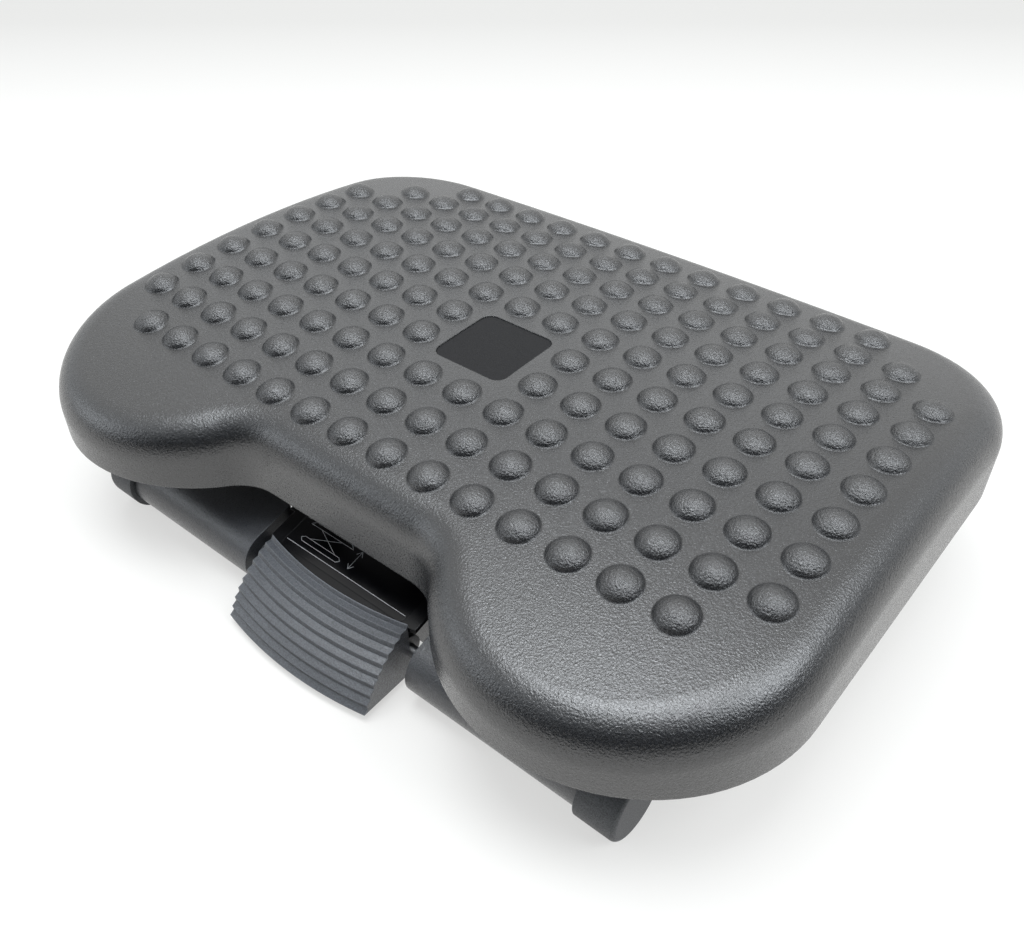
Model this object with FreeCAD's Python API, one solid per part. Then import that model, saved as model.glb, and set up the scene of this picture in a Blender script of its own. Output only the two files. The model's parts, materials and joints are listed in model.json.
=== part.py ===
"""Under-desk footrest with a studded platform, a level-lifting linkage and a release pedal.

Millimetres. The origin is on the floor under the middle of the outline. +X is to the right,
+Y runs from the user towards the back of the desk and +Z is up.
"""
import FreeCAD, Part
import math
import os

V = FreeCAD.Vector

# Platform outline, as seen from above: one half, from the waist at the front to the back edge
waist_edge_y = -119.6
waist_half_straight = 46.1
waist_fillet_radius = 26.9
waist_turn_deg = -51.3
lobe_radius = 84.3
flank_end_y = 90.0
back_corner_radius = 67.0
back_turn_deg = 177.0

# Platform shell
crown_height = 108.5
crown_radius = 778.0
crown_axis_y = 16.2
skirt_edge_height = 60.1
shell_wall = 3.0
rim_radius = 20.0
rib_thickness = 2.0
rib_depth = 9.0
rib_pitch_x = 62.0
rib_pitch_y = 52.0
rib_rows_each_way = 2
rib_columns_each_way = 3
overrun = 5.0

# Studs on the platform
stud_pitch = 25.0
stud_diameter = 19.0
stud_height = 5.0
stud_root = 2.0
stud_columns = 16
stud_rows = 10
outer_front_blank_count = 1
outer_back_blank_count = 2
next_back_blank_count = 1

# Badge plate in its recess
badge_side = 44.0
badge_corner_radius = 6.0
badge_centre_y = -8.8
badge_recess_depth = 1.7
badge_thickness = 1.3
badge_edge_gap = 0.35

# Front bar of the base
bar_axis_y = -122.3
bar_axis_z = 17.0
bar_radius = 14.8
bar_half_length = 151.0
bar_depth_behind_axis = 18.0
bar_ramp_deg = 15.7
base_wall = 2.8
bay_half_width = 55.7
bay_boss_radius = 7.0
bay_boss_height = 4.6

# Tray of the base, which holds the release mechanism
tray_side_gap = 2.7
tray_half_width = bay_half_width - tray_side_gap
tray_front_y = -106.7
tray_rear_y = 124.3
tray_bottom_z = 2.2
tray_floor = 3.0
tray_wall_top_z = 30.0
ear_thickness = 7.0
ear_front_y = 90.0
ear_rear_y = 126.0
ear_top_z = 52.0
ear_corner_radius = 9.0
pedal_slot_half_width = 12.0
pedal_slot_low_z = 8.0

# Rear bar of the base
rear_bar_y = 133.0
rear_bar_z = 13.8
rear_bar_radius = 12.2
rear_bar_half_length = 132.0

# Rubber boots on the ends of both bars
boot_projection = 20.0
boot_flat = 0.4
boot_edge_radius = 2.5
plug_inset = 1.6
plug_length = 14.0

# Lift linkage: two arms on one shaft, and a parallel pair of links
lift_shaft_y = 104.0
lift_shaft_z = 24.0
lift_shaft_radius = 8.0
arm_length = 117.3
arm_rest_deg = 9.3
lift_travel_deg = 22.0
link_offset = 20.0
arm_side_gap = 13.0
arm_inner_x = tray_half_width + arm_side_gap
arm_thickness = 12.0
shaft_end_extra = 1.0
lift_shaft_half_length = arm_inner_x + arm_thickness + shaft_end_extra
arm_half_width = 9.0
arm_hub_radius = 12.0
arm_eye_radius = 10.0
arm_pocket_depth = 3.5
arm_pocket_rim = 3.2
arm_pocket_end_gap = 6.4
link_inset = 3.0
link_inner_x = arm_inner_x + link_inset
link_thickness = 6.0
link_half_width = 5.5
link_eye_radius = 7.0
arm_pin_radius = 4.0
link_pin_radius = 3.0
pin_head_height = 2.4
pin_head_extra = 2.6
pin_shoulder_extra = 2.0
pin_clearance = 0.05
press_clearance = 0.02
face_gap = 0.3
roll_pin_radius = 2.0

# Bushes of the lift shaft
bush_wall = 2.4
bush_flange_extra = 2.2
bush_flange_thickness = 1.5

# Brake that holds the lift shaft
drum_radius = 16.5
drum_half_width = 14.0
lining_thickness = 2.4
shoe_half_width = 13.0
shoe_half_height = 11.0
shoe_back_thickness = 7.0
brake_rod_z = 21.0
brake_rod_radius = 4.0
rod_collar_radius = 8.0
rod_collar_thickness = 3.0
rod_collar_y = 36.3
guide_thickness = 4.0
guide_half_width = 12.0
guide_rise = 8.0
front_guide_y = -3.7
rear_guide_y = 52.3
yoke_half_width = 7.0
yoke_half_height = 6.0
yoke_length = 14.0
yoke_front_length = 6.0
yoke_slot_half_width = 2.6
rod_pin_radius = 2.0
spring_wire = 1.2
spring_radius = 6.0
spring_turns = 7
spring_arcs_per_turn = 4

# Release crank between pedal and brake rod
crank_y = -67.7
crank_z = 33.5
crank_hub_radius = 5.2
crank_pin_radius = 3.0
crank_half_width = 7.0
crank_front_reach = 18.0
crank_front_height = 4.5
crank_fork_slot = 0.15
crank_fork_half_depth = 4.0
crank_lug_gap = 0.5
crank_lug_thickness = 4.0
crank_lug_half_depth = 6.0

# Pedal
pedal_side_gap = 9.7
pedal_tip_flare = 2.0
pedal_half_width_rear = bay_half_width - pedal_side_gap
pedal_half_width_tip = pedal_half_width_rear + pedal_tip_flare
pedal_top_y = -129.7
pedal_top_z = 36.5
pedal_tip_y = -161.1
pedal_tip_z = 4.5
pedal_top_slope_deg = 22.0
pedal_tip_slope_deg = 68.0
pedal_plan_radius = 220.0
pedal_wall = 3.2
pedal_rib_count = 9
pedal_rib_depth = 1.5
pedal_rib_steep_share = 0.42
pedal_lug_inset = 9.0
pedal_lug_inner_x = pedal_half_width_rear - pedal_lug_inset
pedal_lug_thickness = 7.0
pedal_lug_radius = 7.0
pedal_pin_radius = 3.0
pedal_pin_bite = 6.0
pedal_arm_half_width = 9.0
pedal_arm_thickness = 5.0
pedal_arm_nose_radius = 3.0

# Covers over the tray
cover_wall = 2.4
cover_top_z = 44.0
deck_front_y = -129.1
deck_front_z = 31.8
deck_slope_deg = 15.6
deck_side_gap = 6.2
deck_half_width = bay_half_width - deck_side_gap
cover_split_y = 64.3
cover_screw_inset_x = 9.0
cover_screw_front_y = -59.7
cover_screw_rear_y = 26.3
rear_cover_screw_y = 80.0
cover_boss_radius = 4.5
label_side_gap = 8.0
label_half_length = deck_half_width - label_side_gap
label_depth = 34.0
label_thickness = 0.35
label_corner_radius = 3.0
label_front_gap = 5.5

# Tilt carrier between the lift linkage and the platform
axle_behind_arm_head = 4.058
axle_above_arm_head = 33.044
tilt_axle_radius = 5.0
cheek_side_gap = 4.0
cheek_inner_x = tray_half_width + cheek_side_gap
cheek_thickness = 6.0
cheek_margin = 11.5
web_gap_over_cover = 3.5
web_thickness = 7.0
web_half_depth = 17.0
nut_radius = 8.0
nut_height = 4.6
axle_end_extra = 0.8
washer_thickness = 2.4
washer_radius = 9.5
spacer_wall = 2.0

# Brackets that hang from the platform onto the tilt axle
bracket_thickness = 8.0
bracket_eye_radius = 9.0
bracket_flange_z = 91.0
bracket_flange_thickness = 4.0
bracket_flange_width = 30.0
bracket_half_depth = 32.0
bracket_screw_inset = 6.5
boss_radius = 5.0

# Screws
screw_radius = 2.0
screw_head_radius = 3.9
screw_head_height = 2.2
screw_drive_radius = 1.4
screw_drive_depth = 1.2
screw_bite = 9.0
screw_clearance = 0.3
screw_hole_fit = 0.02


def box(x0, x1, y0, y1, z0, z1):
    """Block between two opposite corners."""
    return Part.makeBox(x1 - x0, y1 - y0, z1 - z0, V(x0, y0, z0))


def rod_x(radius, y, z, x0, x1):
    """Round bar along X."""
    return Part.makeCylinder(radius, x1 - x0, V(x0, y, z), V(1, 0, 0))


def rod_y(radius, x, z, y0, y1):
    """Round bar along Y."""
    return Part.makeCylinder(radius, y1 - y0, V(x, y0, z), V(0, 1, 0))


def rod_z(radius, x, y, z0, z1):
    """Round bar along Z."""
    return Part.makeCylinder(radius, z1 - z0, V(x, y, z0), V(0, 0, 1))


def plate_x(points, x0, x1):
    """Plate whose outline is a polygon of (y, z) points, from x0 to x1."""
    corners = [V(x0, y, z) for y, z in points]
    face = Part.Face(Part.makePolygon(corners + corners[:1]))
    return face.extrude(V(x1 - x0, 0, 0))


def mirrored(shape):
    """The same piece on the other side of the middle plane."""
    return shape.mirror(V(0, 0, 0), V(1, 0, 0))


def both_sides(shape):
    """The piece and its mirror image."""
    return [shape, mirrored(shape)]


def fuse_all(shapes):
    """One solid from several that meet."""
    joined = shapes[0].multiFuse(shapes[1:])
    return joined.removeSplitter()


def cut_all(shape, tools):
    """The shape without any of the tools."""
    return shape.cut(Part.makeCompound(tools))


def rounded_x(shape, radius):
    """Round the edges that run along X."""
    edges = []
    for edge in shape.Edges:
        if isinstance(edge.Curve, Part.Line) and abs(edge.Curve.Direction.x) > 0.999:
            edges.append(edge)
    return shape.makeFillet(radius, edges)


def rounded_z(shape, radius):
    """Round the edges that run along Z."""
    edges = []
    for edge in shape.Edges:
        if isinstance(edge.Curve, Part.Line) and abs(edge.Curve.Direction.z) > 0.999:
            edges.append(edge)
    return shape.makeFillet(radius, edges)


def bar_link(start, end, half_width, start_radius, end_radius, x0, x1):
    """Flat bar with an eye at each end, in the plane across X."""
    dy = end[0] - start[0]
    dz = end[1] - start[1]
    length = math.hypot(dy, dz)
    side_y = -dz / length * half_width
    side_z = dy / length * half_width
    middle = plate_x(
        [
            (start[0] + side_y, start[1] + side_z),
            (end[0] + side_y, end[1] + side_z),
            (end[0] - side_y, end[1] - side_z),
            (start[0] - side_y, start[1] - side_z),
        ],
        x0,
        x1,
    )
    start_eye = rod_x(start_radius, start[0], start[1], x0, x1)
    end_eye = rod_x(end_radius, end[0], end[1], x0, x1)
    return fuse_all([middle, start_eye, end_eye])


def biarc(start, start_way, end, end_way):
    """Two arcs in space that leave start and reach end in the given directions."""
    gap = end - start
    along = gap.dot(start_way + end_way)
    spread = 2 * (1 - start_way.dot(end_way))
    pull = (math.sqrt(along**2 + spread * gap.dot(gap)) - along) / spread
    joint = (start + end + (start_way - end_way) * pull) / 2
    arcs = []
    for first, corner, last in (
        (start, start + start_way * pull, joint),
        (joint, end - end_way * pull, end),
    ):
        middle = (first + last) / 2
        half_chord = first.distanceToPoint(middle)
        to_corner = corner - middle
        rise = half_chord * math.tan(math.atan2(to_corner.Length, half_chord) / 2)
        arcs.append(Part.Arc(first, middle + to_corner * (rise / to_corner.Length), last).toShape())
    return arcs


def screw(x, y, z, up, length):
    """Cross-slot screw with its head's underside at z; up says where the head is."""
    way = 1 if up else -1
    axis = V(0, 0, way)
    head = Part.makeCylinder(screw_head_radius, screw_head_height, V(x, y, z), axis)
    shank = Part.makeCylinder(screw_radius, length, V(x, y, z), axis * -1)
    drive_start = z + way * (screw_head_height - screw_drive_depth)
    drive = Part.makeCylinder(screw_drive_radius, screw_drive_depth, V(x, y, drive_start), axis)
    return head.fuse(shank).cut(drive)


# Linkage points, as (y, z)
mid_lift = math.radians(arm_rest_deg + lift_travel_deg / 2)
rest = math.radians(arm_rest_deg)
arm_foot = (lift_shaft_y, lift_shaft_z)
arm_head = (
    lift_shaft_y - arm_length * math.cos(rest),
    lift_shaft_z + arm_length * math.sin(rest),
)
link_foot = (
    arm_foot[0] + link_offset * math.sin(mid_lift),
    arm_foot[1] + link_offset * math.cos(mid_lift),
)
link_head = (
    arm_head[0] + link_offset * math.sin(mid_lift),
    arm_head[1] + link_offset * math.cos(mid_lift),
)
tilt_axle_y = arm_head[0] + axle_behind_arm_head
tilt_axle_z = arm_head[1] + axle_above_arm_head


def crown_z(y):
    """Height of the bare crown at y."""
    reach = y - crown_axis_y
    return crown_height - crown_radius + math.sqrt(crown_radius**2 - reach**2)


def arc_stops(x, y, z, radius, start_deg, end_deg):
    """Start, middle and end of an arc in plan that leaves (x, y) heading start_deg."""
    side = 1 if end_deg > start_deg else -1
    start = math.radians(start_deg)
    centre_x = x - side * radius * math.sin(start)
    centre_y = y + side * radius * math.cos(start)
    stops = []
    for angle_deg in (start_deg, (start_deg + end_deg) / 2, end_deg):
        angle = math.radians(angle_deg)
        across = centre_x + side * radius * math.sin(angle)
        along = centre_y - side * radius * math.cos(angle)
        stops.append(V(across, along, z))
    return stops


def outline_wire(inset, z):
    """The platform's outline, moved inwards by inset, at height z."""
    waist = arc_stops(
        waist_half_straight, waist_edge_y + inset, z, waist_fillet_radius + inset, 0, waist_turn_deg
    )
    lobe = arc_stops(waist[2].x, waist[2].y, z, lobe_radius - inset, waist_turn_deg, 90)
    corner = arc_stops(lobe[2].x, flank_end_y, z, back_corner_radius - inset, 90, back_turn_deg)
    bow = corner[2].x * math.tan(math.radians(180 - back_turn_deg) / 2)
    back = V(0, corner[2].y + bow, z)
    right = [waist, lobe, lobe[2:] + corner[:1], corner]
    left = [[V(-p.x, p.y, p.z) for p in reversed(stops)] for stops in reversed(right)]
    edges = [Part.makeLine(left[-1][-1], waist[0])]
    for stops in right + [[corner[2], back, left[0][0]]] + left:
        if len(stops) > 2:
            edges.append(Part.Arc(*stops).toShape())
        else:
            edges.append(Part.makeLine(*stops))
    return Part.Wire(edges)


def crown_body(drop):
    """Long cylinder whose top is the crown, lowered by drop."""
    radius = crown_radius - drop
    return rod_x(radius, crown_axis_y, crown_height - crown_radius, -crown_radius, crown_radius)


def domed_block(inset, drop, bottom, round_radius):
    """Solid inside the outline, under the crown, with its top edge rounded."""
    face = Part.Face(outline_wire(inset, bottom))
    tall = face.extrude(V(0, 0, crown_height + overrun - bottom))
    block = tall.common(crown_body(drop))
    edges = []
    for face in block.Faces:
        surface = face.Surface
        if isinstance(surface, Part.Cylinder) and abs(surface.Radius - crown_radius + drop) < face_gap:
            if abs(surface.Axis.x) > 0.999:
                edges += face.Edges
    return block.makeFillet(round_radius, edges)


def stud_places():
    """Centres of the studs: a square grid with clipped corners and a gap for the badge."""
    places = []
    for column in range(stud_columns):
        from_side = min(column, stud_columns - 1 - column)
        first = outer_front_blank_count if from_side == 0 else 0
        back_blanks = {0: outer_back_blank_count, 1: next_back_blank_count}
        for row in range(first, stud_rows - back_blanks.get(from_side, 0)):
            x = (column - (stud_columns - 1) / 2) * stud_pitch
            y = crown_axis_y + (row - (stud_rows - 1) / 2) * stud_pitch
            beside_badge = max(abs(x), abs(y - badge_centre_y)) > badge_side / 2
            if beside_badge:
                places.append((x, y))
    return places


def stud():
    """Low dome at the origin, with a short root below its edge."""
    base_radius = stud_diameter / 2
    ball = (base_radius**2 + stud_height**2) / (2 * stud_height)
    rise = math.asin((ball - stud_height - stud_root) / ball)
    rim = []
    for angle in (rise, (rise + math.pi / 2) / 2, math.pi / 2):
        rim.append(V(ball * math.cos(angle), 0, stud_height - ball + ball * math.sin(angle)))
    foot = V(0, 0, -stud_root)
    edges = [Part.Arc(*rim).toShape(), Part.makeLine(rim[2], foot), Part.makeLine(foot, rim[0])]
    return Part.Face(Part.Wire(edges)).revolve(V(0, 0, 0), V(0, 0, 1), 360)


def placed_stud(dome, x, y):
    """Copy of the dome standing square to the crown at (x, y)."""
    lean = math.degrees(math.asin((y - crown_axis_y) / crown_radius))
    copy = dome.rotated(V(0, 0, 0), V(1, 0, 0), -lean)
    return copy.translated(V(x, y, crown_z(y)))


def badge_prism(side, corner):
    """Tall prism with the badge's rounded square outline."""
    half = side / 2
    low = badge_centre_y - half
    prism = box(-half, half, low, low + side, skirt_edge_height, crown_height + overrun)
    return rounded_z(prism, corner)


def bracket_screw_places():
    """Screw centres of the right-hand bracket."""
    near = bracket_outer_x() - bracket_flange_width + bracket_screw_inset
    far = bracket_outer_x() - bracket_thickness - bracket_screw_inset
    places = []
    for x in (near, far):
        for y in (-1, 1):
            places.append((x, tilt_axle_y + y * (bracket_half_depth - bracket_screw_inset)))
    return places


def platform_ribs(inner):
    """Grid of ribs under the crown, open where the brackets sit."""
    layer = inner.cut(inner.translated(V(0, 0, -rib_depth)))
    low = skirt_edge_height + rib_depth
    reach = crown_radius
    half = rib_thickness / 2
    walls = []
    for column in range(-rib_columns_each_way, rib_columns_each_way + 1):
        x = column * rib_pitch_x
        walls.append(box(x - half, x + half, -reach, reach, low, crown_height))
    for row in range(-rib_rows_each_way, rib_rows_each_way + 1):
        y = crown_axis_y + row * rib_pitch_y
        walls.append(box(-reach, reach, y - half, y + half, low, crown_height))
    ribs = walls[0].multiFuse(walls[1:]).common(layer)
    front = tilt_axle_y - bracket_half_depth
    rear = tilt_axle_y + bracket_half_depth
    return ribs.cut(box(-cheek_inner_x, cheek_inner_x, front, rear, low, bracket_flange_z))


def platform():
    """Moulded platform: crowned shell, rounded rim, skirt, studs, ribs and screw bosses."""
    outer = domed_block(0, 0, skirt_edge_height, rim_radius)
    inner_low = skirt_edge_height - overrun
    inner = domed_block(shell_wall, shell_wall, inner_low, rim_radius - shell_wall)
    bosses = []
    holes = []
    hole_radius = screw_radius + screw_hole_fit
    for x, y in bracket_screw_places():
        for side in (-1, 1):
            column = rod_z(boss_radius, side * x, y, bracket_flange_z, crown_height)
            bosses.append(column.common(inner))
            low = bracket_flange_z - overrun
            holes.append(rod_z(hole_radius, side * x, y, low, bracket_flange_z + screw_bite))
    dome = stud()
    studs = [placed_stud(dome, x, y) for x, y in stud_places()]
    body = outer.cut(inner).multiFuse([platform_ribs(inner)] + bosses + studs)
    recess = badge_prism(badge_side, badge_corner_radius).cut(crown_body(badge_recess_depth))
    return cut_all(body, holes + [recess])


def badge_plate():
    """Thin plate that fills the recess, a little below the crown."""
    prism = badge_prism(badge_side - 2 * badge_edge_gap, badge_corner_radius - badge_edge_gap)
    top = crown_body(badge_recess_depth - badge_thickness)
    return prism.common(top).cut(crown_body(badge_recess_depth))


def bar_profile(shrink):
    """Round-nosed section of the front bar, as a face across X, shrunk by a wall."""
    radius = bar_radius - shrink
    ramp = math.radians(bar_ramp_deg)
    back = bar_axis_y + bar_depth_behind_axis - shrink
    top_y = bar_axis_y - radius * math.sin(ramp)
    top_z = bar_axis_z + radius * math.cos(ramp)
    end_z = top_z + (back - top_y) * math.tan(ramp)
    bottom = bar_axis_z - radius
    nose = Part.Arc(
        V(0, bar_axis_y, bottom), V(0, bar_axis_y - radius, bar_axis_z), V(0, top_y, top_z)
    ).toShape()
    rest_of_it = Part.makePolygon(
        [V(0, top_y, top_z), V(0, back, end_z), V(0, back, bottom), V(0, bar_axis_y, bottom)]
    )
    return Part.Face(Part.Wire([nose] + rest_of_it.Edges))


def bar_piece(shrink, x0, x1):
    """Stretch of the front bar's section."""
    face = bar_profile(shrink)
    face.translate(V(x0, 0, 0))
    return face.extrude(V(x1 - x0, 0, 0))


def tray():
    """Floor, walls and rear ears of the mechanism tray."""
    w = tray_half_width
    outside = box(-w, w, tray_front_y, tray_rear_y, tray_bottom_z, tray_wall_top_z)
    ear = box(
        tray_half_width - ear_thickness, tray_half_width, ear_front_y, ear_rear_y, tray_bottom_z, ear_top_z
    )
    ear_edges = []
    for edge in ear.Edges:
        if abs(edge.CenterOfMass.z - ear_top_z) < pin_clearance and abs(edge.Curve.Direction.x) > 0.999:
            ear_edges.append(edge)
    ear = ear.makeFillet(ear_corner_radius, ear_edges)
    hollow = box(
        -tray_half_width + base_wall,
        tray_half_width - base_wall,
        tray_front_y + base_wall,
        tray_rear_y - base_wall,
        tray_bottom_z + tray_floor,
        tray_wall_top_z + overrun,
    )
    shell = outside.cut(hollow)
    return shell.multiFuse(both_sides(ear))


def cover_screw_places():
    """Screw centres of the front cover and of the rear cover, on both sides."""
    x = tray_half_width - cover_screw_inset_x
    front = []
    rear = []
    for side in (-1, 1):
        front.append((side * x, cover_screw_front_y))
        front.append((side * x, cover_screw_rear_y))
        rear.append((side * x, rear_cover_screw_y))
    return front, rear


def base_frame():
    """Moulded base: hollow front bar with its pedal bay, tray, rod guides and rear bar."""
    bar = bar_piece(0, -bar_half_length, bar_half_length)
    hollow_end = bar_half_length - base_wall
    cheek_x = bay_half_width + base_wall
    pockets = [bar_piece(base_wall, cheek_x, hollow_end), bar_piece(base_wall, -hollow_end, -cheek_x)]
    bay_back = bar_axis_y + bar_depth_behind_axis + overrun
    bay = box(-bay_half_width, bay_half_width, bar_axis_y - 2 * bar_radius, bay_back, 0, ear_top_z)
    bar = cut_all(bar, pockets + [bay])
    plug_end = bar_half_length + plug_length
    plug = rod_x(bar_radius - plug_inset, bar_axis_y, bar_axis_z, hollow_end, plug_end)
    boss = rod_x(
        bay_boss_radius,
        bar_axis_y,
        bar_axis_z,
        bay_half_width - bay_boss_height,
        bay_half_width + base_wall + pedal_pin_bite,
    )
    neck_y = bar_axis_y + bar_depth_behind_axis
    neck = box(
        tray_half_width - base_wall,
        bay_half_width + base_wall,
        neck_y - base_wall,
        tray_front_y + bar_depth_behind_axis,
        tray_bottom_z,
        tray_wall_top_z,
    )
    rear = rod_x(rear_bar_radius, rear_bar_y, rear_bar_z, -rear_bar_half_length, rear_bar_half_length)
    rear_plug = rod_x(
        rear_bar_radius - plug_inset,
        rear_bar_y,
        rear_bar_z,
        rear_bar_half_length - base_wall,
        rear_bar_half_length + plug_length,
    )
    rear_web = box(
        -tray_half_width,
        tray_half_width,
        tray_rear_y - base_wall,
        rear_bar_y,
        tray_bottom_z,
        rear_bar_z + rear_bar_radius / 2,
    )
    pieces = [bar, rear, rear_web, tray()]
    for half in (plug, boss, neck, rear_plug):
        pieces += both_sides(half)
    for y in (front_guide_y, rear_guide_y):
        pieces.append(
            box(
                -guide_half_width,
                guide_half_width,
                y,
                y + guide_thickness,
                tray_bottom_z,
                brake_rod_z + guide_rise,
            )
        )
    lug_start = crank_half_width + crank_lug_gap
    lug = box(
        lug_start,
        lug_start + crank_lug_thickness,
        crank_y - crank_lug_half_depth,
        crank_y + crank_lug_half_depth,
        tray_bottom_z,
        crank_z,
    )
    lug = lug.fuse(rod_x(crank_lug_half_depth, crank_y, crank_z, lug_start, lug_start + crank_lug_thickness))
    pieces += both_sides(lug)
    front_screws, rear_screws = cover_screw_places()
    for x, y in front_screws + rear_screws:
        pieces.append(rod_z(cover_boss_radius, x, y, tray_bottom_z, cover_top_z - cover_wall - face_gap))
    body = fuse_all(pieces)
    tools = []
    hole_radius = screw_radius + screw_hole_fit
    for x, y in front_screws + rear_screws:
        tools.append(rod_z(hole_radius, x, y, cover_top_z - cover_wall - screw_bite, cover_top_z))
    tools.append(
        box(
            -pedal_slot_half_width,
            pedal_slot_half_width,
            tray_front_y - overrun,
            tray_front_y + base_wall + overrun,
            pedal_slot_low_z,
            tray_wall_top_z + overrun,
        )
    )
    pin_end = bay_half_width + pedal_pin_bite
    tools.append(rod_x(pedal_pin_radius + press_clearance, bar_axis_y, bar_axis_z, -pin_end, pin_end))
    guide_end = rear_guide_y + guide_thickness + overrun
    tools.append(rod_y(brake_rod_radius + pin_clearance, 0, brake_rod_z, front_guide_y - overrun, guide_end))
    lug_end = lug_start + crank_lug_thickness + overrun
    tools.append(rod_x(crank_pin_radius + press_clearance, crank_y, crank_z, -lug_end, lug_end))
    bush_outer = lift_shaft_radius + pin_clearance + bush_wall
    span = tray_half_width + overrun
    tools.append(rod_x(bush_outer + press_clearance, lift_shaft_y, lift_shaft_z, -span, span))
    tools.append(rod_x(link_pin_radius + press_clearance, link_foot[0], link_foot[1], -span, span))
    return cut_all(body, tools)


def front_boot():
    """Rubber boot on the right end of the front bar, with a flat foot."""
    return boot(bar_radius, bar_axis_y, bar_axis_z, bar_half_length)


def rear_boot():
    """Rubber boot on the right end of the rear bar, with a flat foot."""
    return boot(rear_bar_radius, rear_bar_y, rear_bar_z, rear_bar_half_length)


def boot(radius, y, z, seam_x):
    """Closed rubber cap over a plug; its lowest flat is the foot at floor level."""
    outer = rod_x(z + boot_flat, y, z, seam_x + press_clearance, seam_x + boot_projection)
    edges = []
    for edge in outer.Edges:
        if isinstance(edge.Curve, Part.Circle) and edge.CenterOfMass.x > seam_x + boot_projection / 2:
            edges.append(edge)
    outer = outer.makeFillet(boot_edge_radius, edges)
    socket = rod_x(
        radius - plug_inset + press_clearance, y, z, seam_x - overrun, seam_x + plug_length + press_clearance
    )
    far = seam_x + boot_projection + overrun
    below = box(seam_x - overrun, far, y - 2 * radius, y + 2 * radius, -overrun, 0)
    return outer.cut(socket).cut(below)


def pedal_outline():
    """Side section of the pedal's top at the middle plane: ribbed arc from rear edge to tip."""
    start = math.radians(pedal_top_slope_deg)
    end = math.radians(pedal_tip_slope_deg)
    chord = math.hypot(pedal_top_y - pedal_tip_y, pedal_top_z - pedal_tip_z)
    chord_angle = math.atan2(pedal_top_z - pedal_tip_z, pedal_top_y - pedal_tip_y)
    radius = chord / (2 * math.sin((end - start) / 2))
    middle = (start + end) / 2
    turn = chord_angle - middle
    centre_y = pedal_top_y + radius * math.sin(start + turn)
    centre_z = pedal_top_z - radius * math.cos(start + turn)
    crests = []
    for rib in range(pedal_rib_count):
        for share, sink in ((0, 0), (pedal_rib_steep_share, pedal_rib_depth)):
            angle = start + turn + (end - start) * (rib + share) / pedal_rib_count
            reach = radius - sink
            crests.append((centre_y - reach * math.sin(angle), centre_z + reach * math.cos(angle)))
    crests.append((pedal_tip_y, pedal_tip_z))
    return crests, radius, centre_y, centre_z, start + turn, end + turn


def turned_about_pedal_axis(points):
    """Solid of revolution about the upright axis of the pedal's curved ribs."""
    axis_y = pedal_tip_y + pedal_plan_radius
    corners = [V(0, y, z) for y, z in points]
    face = Part.Face(Part.makePolygon(corners + corners[:1]))
    half_angle = math.degrees(math.asin(pedal_half_width_tip / pedal_plan_radius)) * 2
    face.rotate(V(0, axis_y, 0), V(0, 0, 1), -half_angle)
    return face.revolve(V(0, axis_y, 0), V(0, 0, 1), 2 * half_angle)


def pedal_side_trim(half_rear, half_tip):
    """Upright wedge that gives the pedal its slightly tapered plan."""
    rear_y = pedal_top_y + bar_radius
    tip_y = pedal_tip_y - overrun
    corners = [
        V(-half_rear, rear_y, 0),
        V(half_rear, rear_y, 0),
        V(half_tip, tip_y, 0),
        V(-half_tip, tip_y, 0),
    ]
    face = Part.Face(Part.makePolygon(corners + corners[:1]))
    return face.extrude(V(0, 0, ear_top_z))


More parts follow.
